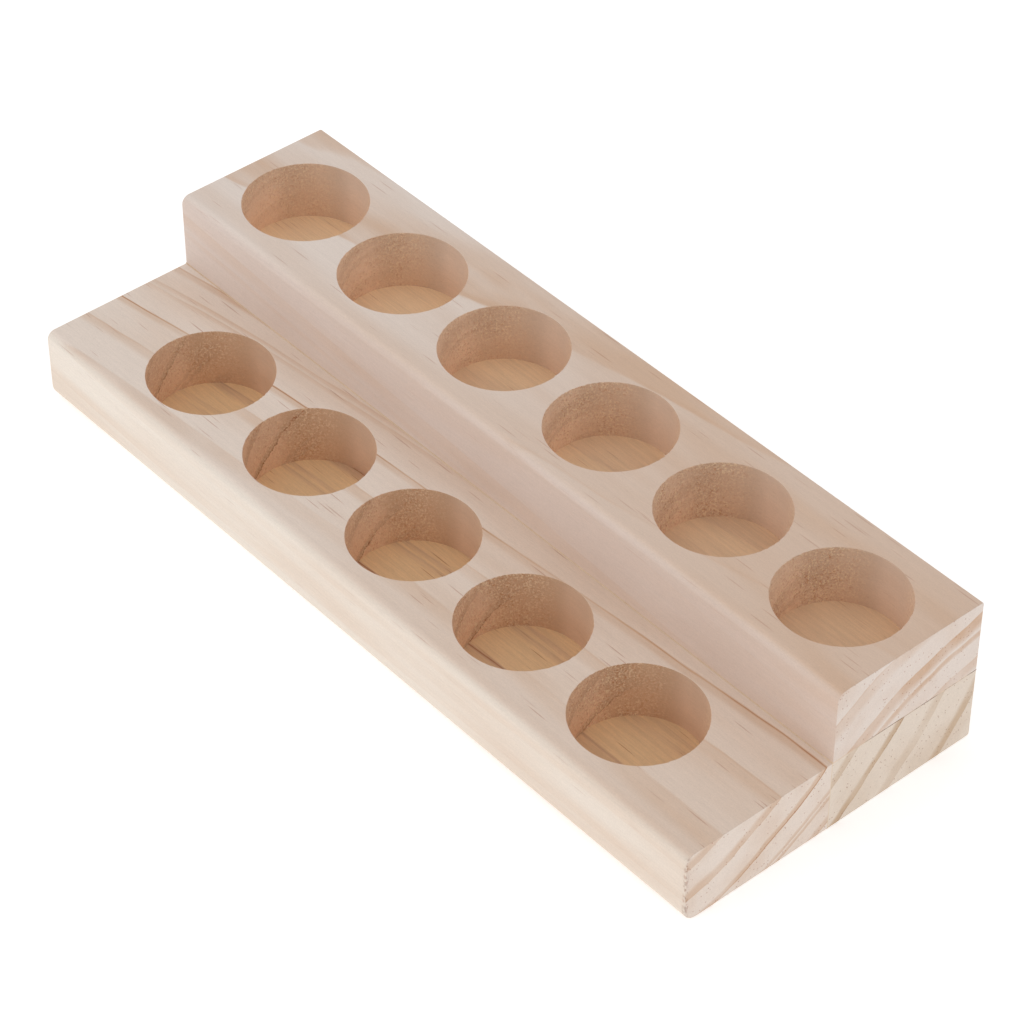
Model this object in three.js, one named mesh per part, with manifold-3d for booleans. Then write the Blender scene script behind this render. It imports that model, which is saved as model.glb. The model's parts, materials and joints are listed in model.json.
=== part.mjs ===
// Two-tier jar rack in pine: a low front row and a raised rear row of round, flat-bottomed jar
// sockets, bored in three staves that are glued edge to edge and face to face.
// Millimetres, +Z up, front towards -Y. The origin is the middle of the rack's underside.

import * as THREE from "three";
import { mergeVertices } from "three/addons/utils/BufferGeometryUtils.js";
import Module from "manifold-3d";

// ---- driving dimensions ------------------------------------------------------------------

const RACK_LENGTH = 255; // along X, the same for all three staves
const STAVE_THICKNESS = 22.375; // all three staves are planed from the same stock
const FRONT_STAVE_WIDTH = 46.875; // carries the front row of sockets
const REAR_STAVE_WIDTH = 48.875; // and the raised stave glued on top of it
const GLUE_FILM = 0.25; // cured glue left in each joint

const SOCKET_DIAMETER = 35; // a flat-bottom boring bit's standard size
const SOCKET_FLOOR = 4.375; // wood left under each socket
const REAR_ROW_WEB = 6.5; // wood between neighbouring rear sockets
const FRONT_ROW_WEB = 7.5; // wood between neighbouring front sockets
const END_WALL = 6.25; // least wood beyond the last socket of the longer row

const TOP_FRONT_ROUND = 2.5; // hand-eased top edges along the front of both tiers
const BOTTOM_FRONT_ROUND = 4; // heavier rounding where the front meets the table
const REAR_TOP_ROUND = 0.75; // the rear top edge is only just broken

const SOCKET_SIDES = 64;
const ROUND_STEPS = 6;
const CUT_OVERRUN = 2; // how far a boring tool starts above the face it cuts

// ---- sizes that follow from them ---------------------------------------------------------

// Meshes hold 32-bit numbers, so glued faces are placed on numbers that such a mesh can hold.
const exact = Math.fround;

const length = exact(RACK_LENGTH);
const thickness = exact(STAVE_THICKNESS);
const film = exact(GLUE_FILM);
const frontWidth = exact(FRONT_STAVE_WIDTH);
const rearWidth = exact(REAR_STAVE_WIDTH);

const rackDepth = frontWidth + film + rearWidth;
const frontFaceY = -rackDepth / 2;
const edgeFilmY = frontFaceY + frontWidth;
const rearStaveY = edgeFilmY + film;
const faceFilmZ = thickness;
const upperStaveZ = faceFilmZ + film;

const rearPitch = SOCKET_DIAMETER + REAR_ROW_WEB;
const frontPitch = SOCKET_DIAMETER + FRONT_ROW_WEB;
const rearCount = Math.floor((length - 2 * END_WALL + REAR_ROW_WEB) / rearPitch);
const frontCount = rearCount - 1; // the front sockets sit between the rear ones

// A rounded edge stays clear of the socket beside it.
const clearRound = (round, width) => Math.min(round, 0.6 * (width - SOCKET_DIAMETER) / 2);

// ---- materials ---------------------------------------------------------------------------

const pine = (color) => new THREE.MeshStandardMaterial({ color, roughness: 0.68, metalness: 0 });
const frontPine = pine("#dcc9b6");
const rearPine = pine("#d8cbb4");
const upperPine = pine("#d6c4b6");
const driedGlue = new THREE.MeshStandardMaterial({ color: "#a98a62", roughness: 0.5, metalness: 0 });

// ---- cutting -----------------------------------------------------------------------------

const wasm = await Module();
wasm.setup();

function solidFrom(geometry) {
  const bare = geometry.clone();
  bare.deleteAttribute("normal");
  bare.deleteAttribute("uv");
  const merged = mergeVertices(bare, 1e-4);
  return new wasm.Manifold(
    new wasm.Mesh({
      numProp: 3,
      vertProperties: merged.attributes.position.array,
      triVerts: new Uint32Array(merged.index.array),
    }),
  );
}

function geometryFrom(solid) {
  const mesh = solid.getMesh();
  const geometry = new THREE.BufferGeometry();
  geometry.setAttribute("position", new THREE.BufferAttribute(mesh.vertProperties, 3));
  geometry.setIndex(new THREE.BufferAttribute(mesh.triVerts, 1));
  geometry.computeVertexNormals();
  return geometry;
}

// ---- shapes ------------------------------------------------------------------------------

// A stave's end section, front edge at 0, from its underside up. Each round is a radius, or 0.
function staveSection(width, { bottomFront = 0, topFront = 0, topRear = 0 }) {
  const section = new THREE.Shape();
  section.moveTo(bottomFront, 0);
  section.lineTo(width, 0);
  section.lineTo(width, thickness - topRear);
  if (topRear) section.absarc(width - topRear, thickness - topRear, topRear, 0, Math.PI / 2);
  section.lineTo(topFront, thickness);
  if (topFront) section.absarc(topFront, thickness - topFront, topFront, Math.PI / 2, Math.PI);
  section.lineTo(0, bottomFront);
  if (bottomFront) section.absarc(bottomFront, bottomFront, bottomFront, Math.PI, Math.PI * 1.5);
  return section;
}

// The section run along the rack: its own X becomes Y, its Y becomes Z, and its depth becomes X.
function runAlongRack(section) {
  const bar = new THREE.ExtrudeGeometry(section, {
    depth: length,
    bevelEnabled: false,
    curveSegments: ROUND_STEPS,
  });
  bar.applyMatrix4(
    new THREE.Matrix4().set(0, 0, 1, -length / 2, 1, 0, 0, 0, 0, 1, 0, 0, 0, 0, 0, 1),
  );
  return bar;
}

// A row of flat-bottomed sockets, bored down the middle of a stave of this width.
function boreSockets(bar, width, count, pitch) {
  const depth = thickness - SOCKET_FLOOR;
  let stave = solidFrom(bar);
  for (let i = 0; i < count; i++) {
    const bit = new THREE.CylinderGeometry(
      SOCKET_DIAMETER / 2, SOCKET_DIAMETER / 2, depth + CUT_OVERRUN, SOCKET_SIDES,
    );
    bit.rotateX(Math.PI / 2);
    bit.translate(
      (i - (count - 1) / 2) * pitch,
      width / 2,
      SOCKET_FLOOR + (depth + CUT_OVERRUN) / 2,
    );
    stave = stave.subtract(solidFrom(bit));
  }
  return geometryFrom(stave);
}

// ---- pieces ------------------------------------------------------------------------------

function piece(name, geometry, material, y, z) {
  const mesh = new THREE.Mesh(geometry, material);
  mesh.name = name;
  mesh.position.set(0, y, z);
  return mesh;
}

function frontStave() {
  const section = staveSection(frontWidth, {
    bottomFront: BOTTOM_FRONT_ROUND,
    topFront: clearRound(TOP_FRONT_ROUND, frontWidth),
  });
  const bored = boreSockets(runAlongRack(section), frontWidth, frontCount, frontPitch);
  return piece("front_stave", bored, frontPine, frontFaceY, 0);
}

function rearStave() {
  return piece("rear_stave", runAlongRack(staveSection(rearWidth, {})), rearPine, rearStaveY, 0);
}

function upperStave() {
  const section = staveSection(rearWidth, {
    topFront: clearRound(TOP_FRONT_ROUND, rearWidth),
    topRear: clearRound(REAR_TOP_ROUND, rearWidth),
  });
  const bored = boreSockets(runAlongRack(section), rearWidth, rearCount, rearPitch);
  return piece("upper_stave", bored, upperPine, rearStaveY, upperStaveZ);
}

// Each film fills its joint: upright between the two lower staves, flat under the upper one.
function glueFilm(name, alongY, alongZ, y, z) {
  const sheet = new THREE.BoxGeometry(length, alongY, alongZ);
  sheet.translate(0, alongY / 2, alongZ / 2);
  return piece(name, sheet, driedGlue, y, z);
}

const lowerTier = new THREE.Group();
lowerTier.add(
  frontStave(),
  glueFilm("edge_glue_film", film, thickness, edgeFilmY, 0),
  rearStave(),
);

const upperTier = new THREE.Group();
upperTier.add(
  glueFilm("face_glue_film", rearWidth, film, rearStaveY, faceFilmZ),
  upperStave(),
);

const rack = new THREE.Group();
rack.add(lowerTier, upperTier);

export default rack;
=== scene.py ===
"""Two-tier pine jar rack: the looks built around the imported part.

Three glued staves are modelled with bored, fibrous jar sockets and eased edges, and their pine is
cut out of three different logs: growth rings, resin flecks and pores run through each stave in
three dimensions, so the faces, the ends and the socket walls agree with each other.
"""
import json
import math
import random
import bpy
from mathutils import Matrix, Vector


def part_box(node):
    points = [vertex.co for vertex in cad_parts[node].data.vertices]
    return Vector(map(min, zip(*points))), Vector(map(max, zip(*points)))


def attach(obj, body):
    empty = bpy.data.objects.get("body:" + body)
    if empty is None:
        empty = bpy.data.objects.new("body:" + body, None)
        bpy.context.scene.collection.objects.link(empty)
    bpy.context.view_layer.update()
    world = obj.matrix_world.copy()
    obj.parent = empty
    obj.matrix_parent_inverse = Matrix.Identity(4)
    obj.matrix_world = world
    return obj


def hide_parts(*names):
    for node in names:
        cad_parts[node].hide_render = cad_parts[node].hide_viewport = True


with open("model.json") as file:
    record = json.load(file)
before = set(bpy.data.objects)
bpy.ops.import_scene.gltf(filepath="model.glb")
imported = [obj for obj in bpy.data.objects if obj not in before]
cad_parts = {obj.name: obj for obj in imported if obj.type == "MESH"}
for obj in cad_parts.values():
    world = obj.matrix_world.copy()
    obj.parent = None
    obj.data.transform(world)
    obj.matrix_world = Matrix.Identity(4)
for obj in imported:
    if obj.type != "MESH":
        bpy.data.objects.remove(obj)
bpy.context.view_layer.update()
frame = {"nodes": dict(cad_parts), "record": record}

from types import SimpleNamespace

import bmesh
import bpy
from mathutils import Vector

# ---- sizes, in metres ---------------------------------------------------------------------------

MM = 0.001
TOP_FRONT_ROUND = 2.5 * MM  # hand-eased top edges along the front of both tiers
BOTTOM_FRONT_ROUND = 4.0 * MM  # heavier rounding where the front meets the table
REAR_TOP_ROUND = 0.75 * MM
BROKEN_EDGE = 0.22 * MM  # every other exposed edge, just taken off with sandpaper
ROUND_SEGMENTS = 10
SMOOTH_UNDER = math.radians(32)

SOCKET_SIDES = 192
WALL_ROW = 0.6 * MM  # height of one ring of faces on a socket wall
RIM_BREAK = 0.16 * MM
CUTTER_RINGS = 14  # rings of faces across a socket floor
TORN_GRAIN = 0.45 * MM  # from the deepest tear to the tallest tuft of a bored wall
CUTTER_MARKS = 0.06 * MM

TEAR_SIZE = 0.7 * MM  # across one tear of the displaced wall
CUTTER_MARK_SIZE = 2.5 * MM

FIBRE_LENGTH = 1.0 * MM
FIBRE_RADIUS = 0.075 * MM
FIBRE_SIDES = 5
FIBRE_STEPS = 4
FIBRE_TAPER = 0.72
FIBRES_PER_SOCKET = 9

CAMERA_AZIMUTH = 49.29
CAMERA_ELEVATION = 41.72
CAMERA_DISTANCE = 0.9278
CAMERA_TARGET = (0.0100, -0.0002, 0.0225)
CAMERA_LENS = 127.66


# ---- where things are, from the frame -----------------------------------------------------------

def sockets(row):
    """The middle of each socket's floor in one row, "front" or "rear"."""
    mounts = frame["record"]["mounts"]
    return [Vector(m["pos_m"]) for m in mounts if m["name"].startswith(row + "_socket")]


def socket_radius(node, centre, top):
    """Half the width of the bored hole round this centre, from the CAD stave's own vertices."""
    reach = [
        (v.co.xy - centre.xy).length
        for v in frame["nodes"][node].data.vertices
        if abs(v.co.z - top) < 1e-5
    ]
    return min(reach)


# ---- modelling helpers --------------------------------------------------------------------------

def deselect_all():
    if bpy.context.mode != "OBJECT":
        bpy.ops.object.mode_set(mode="OBJECT")
    bpy.ops.object.select_all(action="DESELECT")


def work_on(obj):
    deselect_all()
    obj.select_set(True)
    bpy.context.view_layer.objects.active = obj


def apply_modifiers(obj):
    work_on(obj)
    for modifier in list(obj.modifiers):
        bpy.ops.object.modifier_apply(modifier=modifier.name)


def settle(obj):
    """Puts the object at the origin, unturned and unscaled, with its place in its mesh."""
    work_on(obj)
    bpy.ops.object.transform_apply(location=True, rotation=True, scale=True)


def pick_edges(obj, test):
    """Selects the edges whose two ends pass the test, and leaves edit mode on."""
    work_on(obj)
    bpy.ops.object.mode_set(mode="EDIT")
    bpy.ops.mesh.select_mode(type="EDGE")
    bpy.ops.mesh.select_all(action="DESELECT")
    mesh = bmesh.from_edit_mesh(obj.data)
    for edge in mesh.edges:
        edge.select_set(test(edge.verts[0].co, edge.verts[1].co))
    bmesh.update_edit_mesh(obj.data)


def near(a, b, slack=2e-5):
    return abs(a - b) < slack


# ---- staves -------------------------------------------------------------------------------------

def stave_blank(name, low, high):
    """A planed, square-edged stave."""
    deselect_all()
    bpy.ops.mesh.primitive_cube_add(size=1, location=(low + high) / 2, scale=high - low)
    blank = bpy.context.object
    blank.name = blank.data.name = name
    settle(blank)
    return blank


def round_long_edge(obj, y, z, radius):
    """Rounds the one edge that runs the length of the stave at this y and z."""
    pick_edges(obj, lambda a, b: near(a.y, y) and near(b.y, y) and near(a.z, z) and near(b.z, z))
    bpy.ops.mesh.bevel(offset=radius, segments=ROUND_SEGMENTS, affect="EDGES")
    deselect_all()


def break_end_edges(obj, low, high, joint_sides):
    """Takes the sharpness off the edges round both sawn ends, except where a stave is glued on."""
    glued = {
        "front": ("y", low.y), "rear": ("y", high.y), "under": ("z", low.z), "top": ("z", high.z),
    }

    def exposed(a, b):
        at_end = any(near(a.x, end) and near(b.x, end) for end in (low.x, high.x))
        at_joint = any(
            near(getattr(a, axis), place) and near(getattr(b, axis), place)
            for axis, place in (glued[side] for side in joint_sides)
        )
        return at_end and not at_joint

    pick_edges(obj, exposed)
    bpy.ops.mesh.bevel(offset=BROKEN_EDGE, segments=2, affect="EDGES")
    deselect_all()


def boring_cutter(centre, radius, top):
    """A bit-shaped solid: a floor of concentric rings, and a wall of many low rings of faces."""
    deselect_all()
    bpy.ops.mesh.primitive_circle_add(
        vertices=SOCKET_SIDES, radius=radius, fill_type="NGON", location=centre
    )
    cutter = bpy.context.object
    settle(cutter)
    bpy.ops.object.mode_set(mode="EDIT")
    bpy.ops.mesh.select_mode(type="FACE")
    bpy.ops.mesh.select_all(action="SELECT")
    rows = round((top - centre.z) / WALL_ROW)
    rise = (top - centre.z) / (rows + 0.5)  # no ring of the cutter lies in the stave's top face
    for _ in range(rows + 2):
        bpy.ops.mesh.extrude_region_move(TRANSFORM_OT_translate={"value": (0, 0, rise)})
    pick_edges(cutter, lambda a, b: near(a.z, centre.z) and near(b.z, centre.z))
    bpy.ops.mesh.edge_face_add()
    for _ in range(CUTTER_RINGS):
        bpy.ops.mesh.inset(thickness=radius / (CUTTER_RINGS + 0.5), use_even_offset=False)
    bpy.ops.mesh.select_all(action="SELECT")
    bpy.ops.mesh.normals_make_consistent(inside=False)
    bpy.ops.object.mode_set(mode="OBJECT")
    return cutter


def bore(stave, centres, radius, top):
    """Bores every socket of a row, one boolean each."""
    for centre in centres:
        cutter = boring_cutter(centre, radius, top)
        cut = stave.modifiers.new("bore", "BOOLEAN")
        cut.operation = "DIFFERENCE"
        cut.solver = "EXACT"
        cut.object = cutter
        apply_modifiers(stave)
        bpy.data.objects.remove(cutter, do_unlink=True)


def break_rims(stave, centres, radius, top):
    """A hair of a chamfer round every socket's mouth."""
    def on_rim(point):
        return near(point.z, top) and any(
            near((point.xy - c.xy).length, radius, 6e-5) for c in centres
        )

    pick_edges(stave, lambda a, b: on_rim(a) and on_rim(b))
    bpy.ops.mesh.bevel(offset=RIM_BREAK, segments=2, affect="EDGES")
    deselect_all()


def weigh_sockets(stave, centres, radius, floor):
    """Vertex groups: torn_grain where the bit meets fibres end-on, cutter_marks on the floors."""
    torn = stave.vertex_groups.new(name="torn_grain")
    marks = stave.vertex_groups.new(name="cutter_marks")
    for vertex in stave.data.vertices:
        for centre in centres:
            out = vertex.co.xy - centre.xy
            if out.length > radius + 1.5 * RIM_BREAK:
                continue
            if near(vertex.co.z, floor) and out.length < 0.97 * radius:
                marks.add([vertex.index], 1.0, "REPLACE")
            elif vertex.co.z > floor + 0.4 * MM:
                across = abs(out.x) / out.length
                torn.add([vertex.index], 0.08 + 0.92 * across ** 1.5, "REPLACE")
            break


def roughen(stave, group, grain, strength, direction):
    """Pushes the group's vertices to and fro along one axis with a fine cloud pattern."""
    pattern = bpy.data.textures.new(group, "CLOUDS")
    pattern.noise_scale = grain
    pattern.noise_depth = 2
    push = stave.modifiers.new(group, "DISPLACE")
    push.texture = pattern
    push.texture_coords = "LOCAL"
    push.vertex_group = group
    push.direction = direction
    push.strength = strength
    apply_modifiers(stave)


def paint_faces(stave, centres, radius, floor, top):
    """Slot 0 is planed wood, 1 the bored walls and 2 the socket floors."""
    for face in stave.data.polygons:
        for centre in centres:
            reach = (face.center.xy - centre.xy).length
            if reach < radius + TORN_GRAIN and face.center.z < top - 0.5 * RIM_BREAK:
                on_floor = face.center.z < floor + CUTTER_MARKS and abs(face.normal.z) > 0.7
                face.material_index = 2 if on_floor else 1
                break


def soften_shading(stave):
    """Smooth over small angles, with every normal set by the largest faces that meet there."""
    work_on(stave)
    bpy.ops.object.shade_smooth_by_angle(angle=SMOOTH_UNDER)
    weigh = stave.modifiers.new("weigh", "WEIGHTED_NORMAL")
    weigh.keep_sharp = True
    apply_modifiers(stave)


def bored_stave(name, node, row, rounds, joint_sides):
    low, high = (Vector(corner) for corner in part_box(node))
    centres = sockets(row)
    floor = centres[0].z
    radius = socket_radius(node, centres[0], high.z)
    stave = stave_blank(name, low, high)
    for y, z, size in rounds(low, high):
        round_long_edge(stave, y, z, size)
    break_end_edges(stave, low, high, joint_sides)
    bore(stave, centres, radius, high.z)
    break_rims(stave, centres, radius, high.z)
    weigh_sockets(stave, centres, radius, floor)
    roughen(stave, "torn_grain", TEAR_SIZE, TORN_GRAIN, "X")
    roughen(stave, "cutter_marks", CUTTER_MARK_SIZE, CUTTER_MARKS, "Z")
    paint_faces(stave, centres, radius, floor, high.z)
    soften_shading(stave)
    return stave


def front_stave():
    def rounds(low, high):
        return [(low.y, low.z, BOTTOM_FRONT_ROUND), (low.y, high.z, TOP_FRONT_ROUND)]

    return bored_stave("front_tier_stave", "front_stave", "front", rounds, ["rear"])


def upper_stave():
    def rounds(low, high):
        return [(low.y, high.z, TOP_FRONT_ROUND), (high.y, high.z, REAR_TOP_ROUND)]

    return bored_stave("raised_tier_stave", "upper_stave", "rear", rounds, ["under"])


def rear_stave():
    low, high = (Vector(corner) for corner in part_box("rear_stave"))
    stave = stave_blank("rear_base_stave", low, high)
    round_long_edge(stave, high.y, low.z, REAR_TOP_ROUND)
    break_end_edges(stave, low, high, ["front", "top"])
    soften_shading(stave)
    return stave


def one_fibre():
    """A thin, tapering, slightly arched splinter that points along +X from the origin."""
    deselect_all()
    bpy.ops.mesh.primitive_circle_add(
        vertices=FIBRE_SIDES, radius=FIBRE_RADIUS, fill_type="NGON",
        rotation=(0, math.radians(90), 0),
    )
    fibre = bpy.context.object
    settle(fibre)
    bpy.ops.object.mode_set(mode="EDIT")
    bpy.ops.mesh.select_mode(type="FACE")
    bpy.ops.mesh.select_all(action="SELECT")
    step = FIBRE_LENGTH / FIBRE_STEPS
    tip = Vector((0, 0, 0))
    for index in range(FIBRE_STEPS):
        move = Vector((step, 0, (0.18 - 0.16 * index) * step))
        tip += move
        bpy.ops.mesh.extrude_region_move(TRANSFORM_OT_translate={"value": move})
        bpy.ops.transform.resize(value=(1, FIBRE_TAPER, FIBRE_TAPER), center_override=tip)
    bpy.ops.mesh.select_all(action="DESELECT")
    bpy.ops.mesh.select_mode(type="EDGE")
    bpy.ops.mesh.select_non_manifold()
    bpy.ops.mesh.edge_face_add()
    bpy.ops.mesh.select_all(action="SELECT")
    bpy.ops.mesh.normals_make_consistent(inside=False)
    bpy.ops.object.mode_set(mode="OBJECT")
    return fibre


def rim_fibres(name, row, node, ragged, draw):
    """Loose fibres left at the socket mouths, longer where the bit tore the rim: ragged gives, for
    a socket's place in the row, the angles in degrees between which they crowd."""
    centres = sockets(row)
    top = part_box(node)[1][2]
    radius = socket_radius(node, centres[0], top)
    pattern = one_fibre()
    copies = []
    for number, centre in enumerate(centres, 1):
        start, end = ragged.get(number, (-28, 28))
        for index in range(FIBRES_PER_SOCKET):
            if index % 3 or number in ragged:
                turn, size = math.radians(draw.uniform(start, end)), draw.uniform(0.5, 1.3)
            else:
                turn, size = math.radians(draw.uniform(150, 210)), draw.uniform(0.4, 0.8)
            around = Vector((math.cos(turn), math.sin(turn), 0))
            heading = math.atan2(draw.uniform(-0.5, 0.5), -around.x)
            copy = pattern.copy()
            copy.data = pattern.data.copy()
            bpy.context.scene.collection.objects.link(copy)
            copy.location = centre + (radius + 0.2 * MM) * around
            copy.location.z = top - draw.uniform(0.4, 0.65) * MM
            copy.rotation_euler = (0, math.radians(draw.uniform(-8, 14)), heading)
            copy.scale = (size, draw.uniform(0.8, 1.5), 1)
            copies.append(copy)
    bpy.data.objects.remove(pattern, do_unlink=True)
    deselect_all()
    for copy in copies:
        copy.select_set(True)
    bpy.context.view_layer.objects.active = copies[0]
    bpy.ops.object.transform_apply(location=True, rotation=True, scale=True)
    bpy.ops.object.join()
    fibres = bpy.context.object
    fibres.name = fibres.data.name = name
    bpy.ops.object.shade_smooth()
    return fibres


# ---- node helpers -------------------------------------------------------------------------------

class Graph:
    """Adds and joins nodes in one material or one group."""

    def __init__(self, tree):
        self.tree = tree

    def add(self, kind, values=None, **settings):
        node = self.tree.nodes.new("ShaderNode" + kind)
        for name, value in settings.items():
            setattr(node, name, value)
        for name, value in (values or {}).items():
            self.feed(value, node.inputs[name])
        return node

    def feed(self, value, socket):
        if isinstance(value, bpy.types.NodeSocket):
            self.tree.links.new(value, socket)
        elif isinstance(value, bpy.types.Node):
            self.tree.links.new(value.outputs[0], socket)
        else:
            socket.default_value = value

    def math(self, operation, *values, clamp=False):
        node = self.add("Math", operation=operation, use_clamp=clamp)
        for index, value in enumerate(values):
            self.feed(value, node.inputs[index])
        return node.outputs[0]

    def band(self, value, low, high, out_low=0.0, out_high=1.0):
        """A smooth step from low to high."""
        node = self.add("MapRange", interpolation_type="SMOOTHSTEP")
        for index, item in enumerate((value, low, high, out_low, out_high)):
            self.feed(item, node.inputs[index])
        return node.outputs[0]

    def scaled(self, vector, scale, shift=(0.0, 0.0, 0.0)):
        node = self.add("Mapping", {"Vector": vector, "Scale": scale, "Location": shift})
        return node.outputs[0]

    def noise(self, vector, scale=1.0, detail=2.0, roughness=0.5, distortion=0.0):
        values = {"Vector": vector, "Scale": scale, "Detail": detail, "Roughness": roughness,
                  "Distortion": distortion}
        return self.add("TexNoise", values).outputs["Fac"]

    def cells(self, vector):
        """Scattered points: how far the nearest is, and a colour drawn for each."""
        values = {"Vector": vector, "Scale": 1.0, "Randomness": 1.0}
        return self.add("TexVoronoi", values, feature="F1").outputs

    def mix(self, amount, a, b, blend="MIX"):
        node = self.add("Mix", data_type="RGBA", blend_type=blend, clamp_factor=True)
        self.feed(amount, node.inputs[0])
        self.feed(a, node.inputs[6])
        self.feed(b, node.inputs[7])
        return node.outputs[2]

    def blend(self, amount, a, b):
        """From value a to value b."""
        node = self.add("Mix", data_type="FLOAT")
        self.feed(amount, node.inputs[0])
        self.feed(a, node.inputs[2])
        self.feed(b, node.inputs[3])
        return node.outputs[0]

    def shaded(self, colour, level):
        """The colour, made darker or lighter by a varying level."""
        grey = self.add("CombineColor", {"Red": level, "Green": level, "Blue": level})
        return self.mix(1.0, colour, grey, "MULTIPLY")

    def seeded(self, position, seed):
        """The position, moved so that each log has its own noise."""
        shift = self.add("CombineXYZ", {"X": seed, "Y": seed, "Z": seed})
        moved = self.add("VectorMath", operation="ADD")
        self.feed(position, moved.inputs[0])
        self.feed(shift, moved.inputs[1])
        return moved.outputs[0]

    def group(self, tree, values):
        node = self.add("Group", node_tree=tree)
        for name, value in values.items():
            self.feed(value, node.inputs[name])
        return node


def new_group(name, inputs, outputs):
    tree = bpy.data.node_groups.new(name, "ShaderNodeTree")
    for label, kind, value in inputs:
        socket = tree.interface.new_socket(
            name=label, in_out="INPUT", socket_type="NodeSocket" + kind
        )
        if value is not None:
            socket.default_value = value
    for label, kind in outputs:
        tree.interface.new_socket(name=label, in_out="OUTPUT", socket_type="NodeSocket" + kind)
    graph = Graph(tree)
    given = tree.nodes.new("NodeGroupInput").outputs
    return graph, given, tree.nodes.new("NodeGroupOutput").inputs


def srgb(red, green, blue):
    """A colour as seen on screen, 0 to 255, as the linear colour that a shader wants."""
    def linear(level):
        level /= 255
        return level / 12.92 if level <= 0.04045 else ((level + 0.055) / 1.055) ** 2.4

    return (linear(red), linear(green), linear(blue), 1.0)


# ---- pine ---------------------------------------------------------------------------------------

SLOW_WANDER = 4.0  # millimetres that a ring strays from its circle along the log
QUICK_WANDER = 0.8
RINGS_PER_RAMP = 6  # a ramp holds 32 stops, and a ring takes five
RAGGED_RING = 2.2  # millimetres that a torn wall blurs a ring's line
RING_EDGE = 0.35  # millimetres over which a ring darkens to its closing line
MOUTH_SHADE_DEPTH = 15 * MM  # how far below the mouth the painted shade on a socket wall reaches

def growth_ring_group():
    """How far a point lies from its log's pith, in millimetres, with the wander of a real ring."""
    g, given, out = new_group(
        "growth_rings",
        [("Position", "Vector", None), ("Pith Y", "Float", 0.0), ("Pith Z", "Float", 0.0),
         ("Lean Y", "Float", 0.0), ("Lean Z", "Float", 0.0), ("Bow", "Float", 0.0),
         ("Seed", "Float", 0.0)],
        [("Radius", "Float")],
    )
    millimetres = g.scaled(given["Position"], (1 / MM, 1 / MM, 1 / MM))
    x, y, z = g.add("SeparateXYZ", {"Vector": millimetres}).outputs
    bowed = g.math("MULTIPLY", g.math("MULTIPLY", x, x), given["Bow"])
    pith_y = g.math("ADD", g.math("MULTIPLY_ADD", x, given["Lean Y"], given["Pith Y"]), bowed)
    pith_z = g.math("MULTIPLY_ADD", x, given["Lean Z"], given["Pith Z"])
    off_y = g.math("SUBTRACT", y, pith_y)
    off_z = g.math("SUBTRACT", z, pith_z)
    squares = g.math("ADD", g.math("MULTIPLY", off_y, off_y), g.math("MULTIPLY", off_z, off_z))
    radius = g.math("SQRT", squares)
    wood = g.seeded(given["Position"], given["Seed"])
    slow = g.noise(g.scaled(wood, (9, 38, 38)), detail=1.0)
    quick = g.noise(g.scaled(wood, (45, 260, 260)), detail=2.0)
    sway = g.math("MULTIPLY_ADD", g.math("SUBTRACT", slow, 0.5), SLOW_WANDER, radius)
    sway = g.math("MULTIPLY_ADD", g.math("SUBTRACT", quick, 0.5), QUICK_WANDER, sway)
    g.feed(sway, out["Radius"])
    return g.tree


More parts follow.
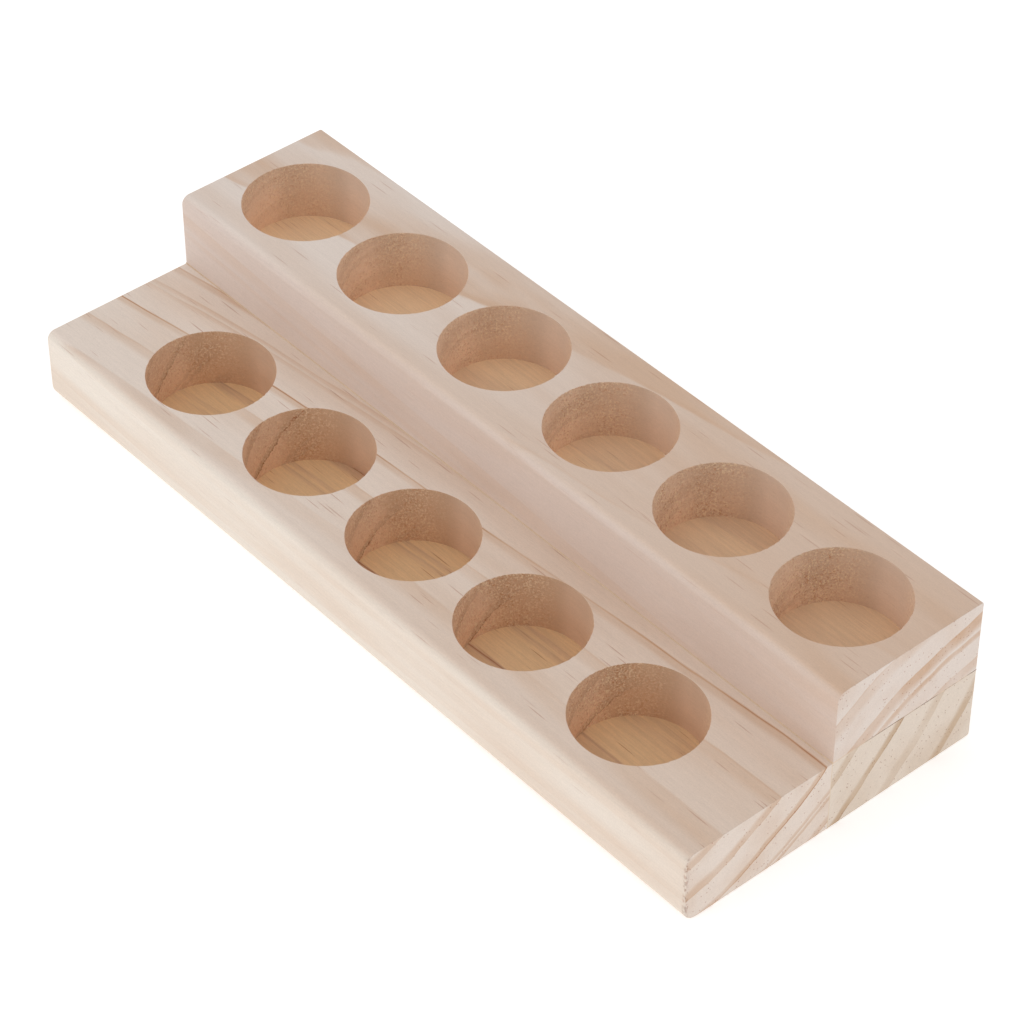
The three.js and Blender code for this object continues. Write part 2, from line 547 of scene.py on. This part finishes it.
def pine_group():
    """Bare planed pine from the latewood mask: colour, roughness and the height of its grain."""
    g, given, out = new_group(
        "planed_pine",
        [("Position", "Vector", None), ("Direction", "Vector", None), ("Latewood", "Float", 0.0),
         ("Early Colour", "Color", None), ("Face Colour", "Color", None),
         ("Late Colour", "Color", None), ("Line Colour", "Color", None),
         ("Resin Colour", "Color", None), ("Flecks", "Float", 1.0), ("Pores", "Float", 1.0),
         ("Deepening", "Float", 0.0), ("Seed", "Float", 0.0)],
        [("Colour", "Color"), ("Roughness", "Float"), ("Height", "Float"), ("End Grain", "Float")],
    )
    wood = g.seeded(given["Position"], given["Seed"])
    facing = g.add("SeparateXYZ", {"Vector": given["Direction"]})
    across = g.band(g.math("ABSOLUTE", facing.outputs["X"]), 0.5, 0.9)
    upright = g.band(g.math("ABSOLUTE", facing.outputs["Y"]), 0.3, 0.9)
    faint = g.math("MULTIPLY_ADD", upright, -0.7, 1.0)
    deep = g.math("POWER", given["Latewood"], 0.75)
    latewood = g.blend(across, g.math("MULTIPLY", given["Latewood"], faint), deep)

    # Broad, slow changes of tone along the board, then fibres from coarse to fine, then sanding.
    cloud = g.noise(g.scaled(wood, (11, 70, 70)), detail=2.0)
    coarse = g.noise(g.scaled(wood, (38, 1100, 1100)), detail=2.0, roughness=0.6)
    fine = g.noise(g.scaled(wood, (420, 3600, 3600)), detail=2.0, roughness=0.7)
    sanded = g.noise(g.scaled(wood, (2400, 2600, 2600)), detail=2.0, roughness=0.7)

    # Resin canals: thin spindles that lie along the fibres, in loose strings near the latewood.
    strings = g.noise(g.scaled(wood, (14, 190, 190), (3.1, 1.7, 9.2)), detail=1.0)
    crowd = g.math("MULTIPLY_ADD", latewood, 0.35, g.band(strings, 0.38, 0.60, 0.22, 1.0))
    spindles = g.cells(g.scaled(wood, (46, 1080, 1080)))
    chosen = g.add("SeparateColor", {"Color": spindles["Color"]})
    kept = g.band(g.math("SUBTRACT", crowd, chosen.outputs["Red"]), 0.0, 0.15)
    girth = g.math("MULTIPLY_ADD", chosen.outputs["Green"], 0.13, 0.14)
    body = g.band(spindles["Distance"], girth, g.math("MULTIPLY", girth, 0.4))
    along = g.math("SUBTRACT", 1.0, across)
    fleck = g.math("MULTIPLY", g.math("MULTIPLY", kept, body), along)
    fleck = g.math("MULTIPLY", fleck, given["Flecks"], clamp=True)

    # The same canals cut across, as brown dots on the sawn ends and the torn sides of a socket.
    pores = g.cells(g.scaled(wood, (70, 1250, 1250)))
    pore_pick = g.add("SeparateColor", {"Color": pores["Color"]})
    packed = g.math("MULTIPLY_ADD", crowd, 0.75, -0.24)
    open_pore = g.band(g.math("SUBTRACT", packed, pore_pick.outputs["Red"]), 0.0, 0.05)
    pore = g.math("MULTIPLY", g.band(pores["Distance"], 0.32, 0.12), open_pore)
    pore = g.math("MULTIPLY", g.math("MULTIPLY", pore, across), given["Pores"])

    # Latewood swells to its tan body tone and closes with a thin, redder line.
    early = g.mix(upright, given["Early Colour"], given["Face Colour"])
    tan = g.mix(g.math("DIVIDE", latewood, 0.6, clamp=True), early, given["Late Colour"])
    lined = g.mix(g.band(latewood, 0.62, 0.95), tan, given["Line Colour"])
    place = g.add("SeparateXYZ", {"Vector": given["Position"]})
    deeper = g.math("MULTIPLY", g.band(place.outputs["X"], -0.12, 0.12), given["Deepening"])
    deeper = g.math("MULTIPLY", g.math("MULTIPLY", deeper, along), faint)
    toned = g.mix(g.math("ADD", g.band(cloud, 0.42, 0.72, 0.0, 0.26), deeper, clamp=True), lined,
                  given["Late Colour"])
    streak = g.math("MULTIPLY_ADD", coarse, 0.10, g.math("MULTIPLY_ADD", fine, 0.16, 0.77))
    streak = g.math("MULTIPLY_ADD", sanded, 0.20, streak)
    streak = g.math("MULTIPLY_ADD", across, -0.04, streak)
    streaked = g.shaded(toned, streak)
    dotted = g.mix(g.math("MULTIPLY", pore, 0.75), streaked, given["Resin Colour"])
    depth = g.math("MULTIPLY", g.math("MULTIPLY_ADD", chosen.outputs["Blue"], 0.45, 0.35), faint)
    flecked = g.mix(g.math("MULTIPLY", fleck, depth), dotted, given["Resin Colour"])
    g.feed(flecked, out["Colour"])

    rough = g.math("MULTIPLY_ADD", fine, 0.18, 0.58)
    rough = g.math("MULTIPLY_ADD", latewood, -0.08, rough)
    g.feed(g.math("MULTIPLY_ADD", across, 0.1, rough), out["Roughness"])

    relief = g.math("MULTIPLY_ADD", latewood, 0.03, g.math("MULTIPLY", fine, 0.04))
    relief = g.math("MULTIPLY_ADD", sanded, 0.03, relief)
    relief = g.math("MULTIPLY_ADD", fleck, -0.03, relief)
    relief = g.math("MULTIPLY_ADD", pore, -0.05, relief)
    g.feed(g.math("MULTIPLY", relief, MM), out["Height"])
    g.feed(across, out["End Grain"])
    return g.tree


def torn_grain_group():
    """The fuzz of fibres that a boring bit leaves where it cuts across the grain."""
    g, given, out = new_group(
        "torn_grain",
        [("Position", "Vector", None), ("Amount", "Float", 0.0)],
        [("Tuft", "Float"), ("Pit", "Float"), ("Height", "Float")],
    )
    tufts = g.noise(g.scaled(given["Position"], (1500, 1900, 1700)), detail=2.0, roughness=0.6)
    pits = g.noise(g.scaled(given["Position"], (1200, 1600, 1300), (3, 7, 4)), detail=2.0,
                   roughness=0.65)
    patch = g.noise(g.scaled(given["Position"], (110, 130, 110)), detail=1.0)
    amount = g.math("MULTIPLY", given["Amount"], g.band(patch, 0.30, 0.62, 0.45, 1.0))
    g.feed(g.math("MULTIPLY", g.band(tufts, 0.50, 0.64), amount), out["Tuft"])
    g.feed(g.math("MULTIPLY", g.band(pits, 0.47, 0.34), amount), out["Pit"])
    height = g.math("MULTIPLY", g.math("SUBTRACT", tufts, pits), amount)
    g.feed(g.math("MULTIPLY", height, 0.35 * MM), out["Height"])
    return g.tree


def ring_ramp(g, radius, rings):
    """Latewood mask of a few rings. Each is (radius, width, body, edge): it swells over its width
    to the body tone, darkens to the edge tone and stops short."""
    inner = rings[0][0] - rings[0][1] - 1
    outer = rings[-1][0] + 1
    along = g.add("MapRange", interpolation_type="LINEAR")
    for index, item in enumerate((radius, inner, outer, 0.0, 1.0)):
        g.feed(item, along.inputs[index])
    ramp = g.add("ValToRGB", {"Fac": along.outputs[0]})
    stops = [(inner, 0.0)]
    for place, width, body, edge in rings:
        stops += [(place - width, 0.0), (place - 0.55 * width, body), (place - RING_EDGE, body),
                  (place - 0.05, edge), (place + 0.22, 0.0)]
    elements = ramp.color_ramp.elements
    elements.remove(elements[-1])
    for index, (place, level) in enumerate(stops):
        spot = (place - inner) / (outer - inner)
        element = elements[0] if index == 0 else elements.new(spot)
        element.position = spot
        element.color = (level, level, level, 1)
    return ramp.outputs["Color"]


def start_material(name):
    material = bpy.data.materials.new(name)
    material.use_nodes = True
    g = Graph(material.node_tree)
    shader = material.node_tree.nodes["Principled BSDF"]
    return material, g, shader


def latewood(g, position, log, ragged=0.0):
    """The rings of a log, a ramp for every few of them, fading and firming along their length.
    Where a bit tore the wood their lines are ragged, by this many millimetres."""
    values = {
        "Position": position, "Pith Y": log.pith[0], "Pith Z": log.pith[1], "Lean Y": log.lean[0],
        "Lean Z": log.lean[1], "Bow": log.bow, "Seed": log.seed,
    }
    radius = g.group(GROWTH_RINGS, values).outputs["Radius"]
    if ragged:
        jag = g.noise(g.scaled(position, (420, 420, 700)), detail=2.0, roughness=0.6)
        radius = g.math("MULTIPLY_ADD", g.math("SUBTRACT", jag, 0.5), ragged, radius)
    mask = ring_ramp(g, radius, log.rings[:RINGS_PER_RAMP])
    if log.rings[RINGS_PER_RAMP:]:
        mask = g.math("MAXIMUM", mask, ring_ramp(g, radius, log.rings[RINGS_PER_RAMP:]))
    fading = g.noise(g.scaled(position, (24, 90, 90), (log.seed, 0, 0)), detail=2.0)
    return g.math("MULTIPLY", mask, g.band(fading, 0.30, 0.62, 0.45, 1.0))


def pine(g, log, texture, early, face, flecks, pores=1.0, deepening=1.0, rings=1.0, ragged=0.0):
    """The log's wood at this place: its flecks, pores, deepening and rings are as strong as
    asked, and its rings as ragged."""
    late = g.math("MULTIPLY", latewood(g, texture["Object"], log, ragged), rings)
    values = {
        "Position": texture["Object"], "Direction": texture["Normal"], "Latewood": late,
        "Early Colour": early, "Face Colour": face, "Late Colour": log.late,
        "Line Colour": log.line, "Resin Colour": log.resin, "Flecks": flecks, "Pores": pores,
        "Deepening": deepening * log.deepening, "Seed": log.seed,
    }
    return g.group(PLANED_PINE, values).outputs


def finish_material(g, shader, colour, roughness, height, shine):
    bump = g.add("Bump", {"Strength": 1.0, "Distance": 1.0, "Height": height})
    g.feed(colour, shader.inputs["Base Color"])
    g.feed(roughness, shader.inputs["Roughness"])
    g.feed(bump, shader.inputs["Normal"])
    shader.inputs["Specular IOR Level"].default_value = shine


def chipped_corner(g, position, corner):
    """Mask of small torn chips along an upright corner at this (x, y), in metres."""
    place = g.add("SeparateXYZ", {"Vector": position})
    away_x = g.math("ABSOLUTE", g.math("SUBTRACT", place.outputs["X"], corner[0]))
    away_y = g.math("ABSOLUTE", g.math("SUBTRACT", place.outputs["Y"], corner[1]))
    close = g.band(g.math("MAXIMUM", away_x, away_y), 1.3 * MM, 0.3 * MM)
    crumbs = g.noise(g.scaled(position, (1100, 1100, 800)), detail=3.0, roughness=0.65)
    return g.math("MULTIPLY", g.band(crumbs, 0.50, 0.60), close)


def planed_material(name, log, corner=None):
    """Outer faces: planed and sanded, with faint saw scratches across the ends."""
    material, g, shader = start_material(name)
    texture = g.add("TexCoord").outputs
    wood = pine(g, log, texture, log.early, log.face, log.flecks)
    scratches = g.noise(g.scaled(texture["Object"], (10, 160, 3200)), detail=1.0)
    cut = g.math("MULTIPLY", g.math("MULTIPLY", scratches, wood["End Grain"]), 0.06 * MM)
    colour, height = wood["Colour"], g.math("ADD", wood["Height"], cut)
    if corner:
        chips = chipped_corner(g, texture["Object"], corner)
        colour = g.mix(g.math("MULTIPLY", chips, 0.4), colour, log.line)
        height = g.math("MULTIPLY_ADD", chips, -0.15 * MM, height)
    finish_material(g, shader, colour, wood["Roughness"], height, 0.32)
    return material


def bored_material(name, log, node, rings):
    """Socket walls: burnished where the bit ran along the fibres, torn where it cut across them,
    darker in two quarters of each wall, partly painted shade and partly fibres the bit tore up
    there, with painted shade towards the mouth and a little painted light deeper down, and torn
    fibres that stand out more towards +X as painted grazing light and shade."""
    material, g, shader = start_material(name)
    texture = g.add("TexCoord").outputs
    facing = g.add("SeparateXYZ", {"Vector": texture["Normal"]}).outputs
    place = g.add("SeparateXYZ", {"Vector": texture["Object"]})
    sideways = g.band(g.math("ABSOLUTE", facing["X"]), 0.2, 0.85)
    # Partly painted shade: walls whose normals' x and y differ in sign are darkened for the
    # light's direction, and partly for the fibres the bit tore up there.
    lifted = g.band(g.math("MULTIPLY", facing["X"], facing["Y"]), -0.05, -0.42)
    bare = g.mix(lifted, g.mix(sideways, log.wall, log.torn), log.lifted, "MULTIPLY")
    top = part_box(node)[1][2]
    # Painted shade towards the mouth, and a little painted light deeper down the wall.
    mouth_shade = g.band(place.outputs["Z"], top - MOUTH_SHADE_DEPTH, top, 1.05, 0.89)
    bare = g.shaded(bare, mouth_shade)
    wood = pine(g, log, texture, bare, bare, flecks=0.7, pores=0.3, deepening=0.2, rings=rings,
                ragged=RAGGED_RING)
    # Painted grazing light and shade: the torn fibres' pale tufts and dark pits, and their bumps,
    # grow stronger towards +X.
    grazing_light_gain = g.band(place.outputs["X"], -0.12, 0.12, 0.6, 1.0)
    torn = g.group(TORN_FIBRES, {"Position": texture["Object"],
                                 "Amount": g.math("MULTIPLY", sideways, grazing_light_gain)})
    pitted = g.mix(g.math("MULTIPLY", torn.outputs["Pit"], 0.6), wood["Colour"], PIT_COLOUR)
    tufted = g.mix(g.math("MULTIPLY", torn.outputs["Tuft"], 0.8), pitted, TUFT_COLOUR)
    height = g.math("ADD", wood["Height"], torn.outputs["Height"])
    roughness = g.math("MULTIPLY_ADD", sideways, 0.12, wood["Roughness"])
    finish_material(g, shader, tufted, roughness, height, 0.3)
    return material


def floor_material(name, log):
    """Socket floors: long grain shaved by the bit."""
    material, g, shader = start_material(name)
    texture = g.add("TexCoord").outputs
    wood = pine(g, log, texture, log.floor, log.floor, flecks=0.8, pores=0.0, deepening=0.45)
    shaving = g.noise(g.scaled(texture["Object"], (70, 1700, 500)), detail=2.0, roughness=0.6)
    shaved = g.shaded(wood["Colour"], g.band(shaving, 0.36, 0.64, 0.95, 1.03))
    height = g.math("MULTIPLY_ADD", shaving, 0.03 * MM, wood["Height"])
    finish_material(g, shader, shaved, wood["Roughness"], height, 0.32)
    return material


def fibre_material(name):
    """Bare, bleached fibre."""
    material, g, shader = start_material(name)
    tone = g.noise(g.scaled(g.add("TexCoord").outputs["Object"], (900, 900, 900)), detail=1.0)
    colour = g.mix(g.band(tone, 0.35, 0.65), FIBRE_PALE, FIBRE_DEEP)
    roughness = g.math("MULTIPLY_ADD", tone, 0.2, 0.6)
    finish_material(g, shader, colour, roughness, g.math("MULTIPLY", tone, 0.01 * MM), 0.3)
    return material


def glue_material(name, pale, dark):
    """Squeezed-out wood glue, wiped off and sanded flush, browner towards the back."""
    material, g, shader = start_material(name)
    position = g.add("TexCoord").outputs["Object"]
    place = g.add("SeparateXYZ", {"Vector": position})
    patches = g.noise(g.scaled(position, (70, 160, 160)), detail=3.0, roughness=0.6)
    specks = g.noise(g.scaled(position, (900, 900, 900)), detail=1.0)
    rearward = g.band(place.outputs["Y"], 2 * MM, 20 * MM, 0.15, 1.0)
    amount = g.math("MULTIPLY", g.band(g.math("MULTIPLY_ADD", specks, 0.35, patches), 0.45, 0.75),
                    rearward)
    finish_material(g, shader, g.mix(amount, pale, dark), g.math("MULTIPLY_ADD", specks, 0.3, 0.4),
                    g.math("MULTIPLY", specks, 0.05 * MM), 0.4)
    return material


# The log that each stave was sawn from. A pith is (y, z) in millimetres in the rack's frame at mid
# length, a lean its drift per millimetre towards +X, a bow its curve, and a ring (radius, width,
# body, edge), with its radius and width in millimetres. Early wood differs on front faces, and a
# line closes each band of latewood. Sockets have walls along the grain, torn walls across it, and
# a floor, and a tint darkens the two quarters of each wall whose normals' x and y differ in sign:
# partly painted shade for the direction of the light, partly the tone of fibres the bit tore up.
FRONT_LOG = SimpleNamespace(
    pith=(-75.0, 76.5), lean=(0.109, 0.041), bow=-0.00019,
    rings=[(66.1, 3.0, 0.22, 0.25), (75.7, 3.0, 0.28, 0.45), (85.3, 2.0, 0.32, 1.0),
           (92.6, 1.2, 0.20, 0.36), (94.2, 1.1, 0.24, 0.42), (100.6, 2.2, 0.45, 1.0),
           (107.5, 3.0, 0.35, 0.60)],
    early=srgb(233, 218, 206), face=srgb(231, 220, 208), late=srgb(208, 172, 142),
    line=srgb(172, 116, 84), resin=srgb(166, 102, 70),
    wall=srgb(224, 193, 168), torn=srgb(242, 205, 174), lifted=(0.81, 0.77, 0.71, 1),
    floor=srgb(242, 208, 163), deepening=0.30, flecks=1.0, seed=1.7,
)
REAR_LOG = SimpleNamespace(
    pith=(-103.0, 112.0), lean=(0.02, -0.03), bow=0.0,
    rings=[(138.0, 3.0, 0.25, 0.45), (149.6, 2.4, 0.5, 0.9), (162.0, 4.0, 0.16, 0.25),
           (174.5, 3.2, 0.42, 0.5), (187.0, 3.0, 0.3, 0.45)],
    early=srgb(230, 215, 200), face=srgb(230, 215, 200), late=srgb(202, 174, 146),
    line=srgb(160, 120, 88), resin=srgb(156, 104, 74), deepening=0.2, flecks=0.8, seed=5.3,
)
UPPER_LOG = SimpleNamespace(
    pith=(66.0, -86.0), lean=(0.10, -0.02), bow=0.0,
    rings=[(110.0, 4.0, 0.15, 0.2), (120.5, 4.0, 0.2, 0.3), (129.0, 2.0, 0.4, 0.35),
           (134.2, 4.5, 0.50, 0.65), (146.5, 5.0, 0.15, 0.35), (157.0, 4.0, 0.2, 0.3)],
    early=srgb(231, 217, 207), face=srgb(219, 202, 192), late=srgb(211, 177, 150),
    line=srgb(178, 124, 92), resin=srgb(168, 108, 76),
    wall=srgb(232, 207, 187), torn=srgb(248, 214, 186), lifted=(0.83, 0.82, 0.80, 1),
    floor=srgb(248, 217, 179), deepening=0.66, flecks=0.55, seed=9.1,
)
FRONT_CORNER = (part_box("front_stave")[1][0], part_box("front_stave")[0][1])
TUFT_COLOUR = srgb(251, 228, 194)
PIT_COLOUR = srgb(186, 122, 80)
FIBRE_PALE = srgb(250, 238, 222)
FIBRE_DEEP = srgb(228, 200, 170)


# ---- the rack -----------------------------------------------------------------------------------

def finish_piece(piece, slot, *nodes):
    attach(piece, "root")
    if nodes:
        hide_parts(*nodes)


def build_rack():
    front = front_stave()
    for material in (planed_material("front_planed", FRONT_LOG, FRONT_CORNER),
                     bored_material("front_bored", FRONT_LOG, "front_stave", rings=1.0),
                     floor_material("front_floor", FRONT_LOG)):
        front.data.materials.append(material)
    finish_piece(front, "front_pine", "front_stave")

    upper = upper_stave()
    for material in (planed_material("upper_planed", UPPER_LOG),
                     bored_material("upper_bored", UPPER_LOG, "upper_stave", rings=0.35),
                     floor_material("upper_floor", UPPER_LOG)):
        upper.data.materials.append(material)
    finish_piece(upper, "upper_pine", "upper_stave")

    draw = random.Random(7)
    for name, row, node, ragged, slot in (
        ("front_rim_fibres", "front", "front_stave", {2: (-50, 5), 5: (-40, 5)}, "front_pine"),
        ("raised_rim_fibres", "rear", "upper_stave", {1: (-130, -80), 2: (-125, -85)},
         "upper_pine"),
    ):
        fibres = rim_fibres(name, row, node, ragged, draw)
        fibres.data.materials.append(fibre_material(name))
        finish_piece(fibres, slot)

    rear = rear_stave()
    rear.data.materials.append(planed_material("rear_planed", REAR_LOG))
    finish_piece(rear, "rear_pine", "rear_stave")

    films = {
        "edge_glue_film": glue_material("edge_glue", srgb(226, 206, 182), srgb(190, 160, 130)),
        "face_glue_film": glue_material("face_glue", srgb(226, 200, 172), srgb(128, 96, 70)),
    }
    for node, material in films.items():
        film = frame["nodes"][node]
        film.data.materials.clear()
        film.data.materials.append(material)


# ---- the studio ---------------------------------------------------------------------------------

def studio_floor():
    deselect_all()
    bpy.ops.mesh.primitive_plane_add(size=6, location=(0, 0, -0.0001))
    floor = bpy.context.object
    floor.name = "studio_floor"
    settle(floor)
    material, g, shader = start_material("studio_paper")
    shader.inputs["Base Color"].default_value = (0.92, 0.92, 0.92, 1)
    shader.inputs["Roughness"].default_value = 0.9
    shader.inputs["Emission Color"].default_value = (1, 1, 1, 1)
    shader.inputs["Emission Strength"].default_value = 0.36
    floor.data.materials.append(material)


def soft_box(name, place, size, power, colour):
    light = bpy.data.lights.new(name, "AREA")
    light.shape = "RECTANGLE"
    light.size, light.size_y = size
    light.energy = power
    light.color = colour
    lamp = bpy.data.objects.new(name, light)
    lamp.location = place
    aim = Vector((0, 0, 0.02)) - Vector(place)
    lamp.rotation_euler = aim.to_track_quat("-Z", "Y").to_euler()
    bpy.context.scene.collection.objects.link(lamp)


def studio_lights():
    soft_box("front_box", (-0.5, -1.6, 0.75), (1.2, 0.9), 4.8, (1.0, 0.99, 0.98))
    soft_box("right_box", (1.7, -0.4, 0.8), (1.0, 0.9), 1.0, (1.0, 0.99, 0.98))
    soft_box("top_box", (0.1, 0.3, 1.8), (1.6, 1.6), 0.8, (1.0, 0.98, 0.96))
    world = bpy.data.worlds.new("studio")
    world.use_nodes = True
    world.node_tree.nodes["Background"].inputs["Color"].default_value = (1, 1, 1, 1)
    world.node_tree.nodes["Background"].inputs["Strength"].default_value = 0.75
    bpy.context.scene.world = world
    bpy.context.scene.view_settings.view_transform = "Standard"


def camera():
    azimuth, elevation = math.radians(CAMERA_AZIMUTH), math.radians(CAMERA_ELEVATION)
    back = Vector((
        math.sin(azimuth) * math.cos(elevation),
        -math.cos(azimuth) * math.cos(elevation),
        math.sin(elevation),
    ))
    data = bpy.data.cameras.new("camera")
    data.lens = CAMERA_LENS
    data.sensor_width = 36
    seen = bpy.data.objects.new("camera", data)
    seen.location = Vector(CAMERA_TARGET) + back * CAMERA_DISTANCE
    seen.rotation_euler = (-back).to_track_quat("-Z", "Y").to_euler()
    bpy.context.scene.collection.objects.link(seen)
    bpy.context.scene.camera = seen


GROWTH_RINGS = growth_ring_group()
PLANED_PINE = pine_group()
TORN_FIBRES = torn_grain_group()

build_rack()
studio_floor()
studio_lights()
camera()

deselect_all()
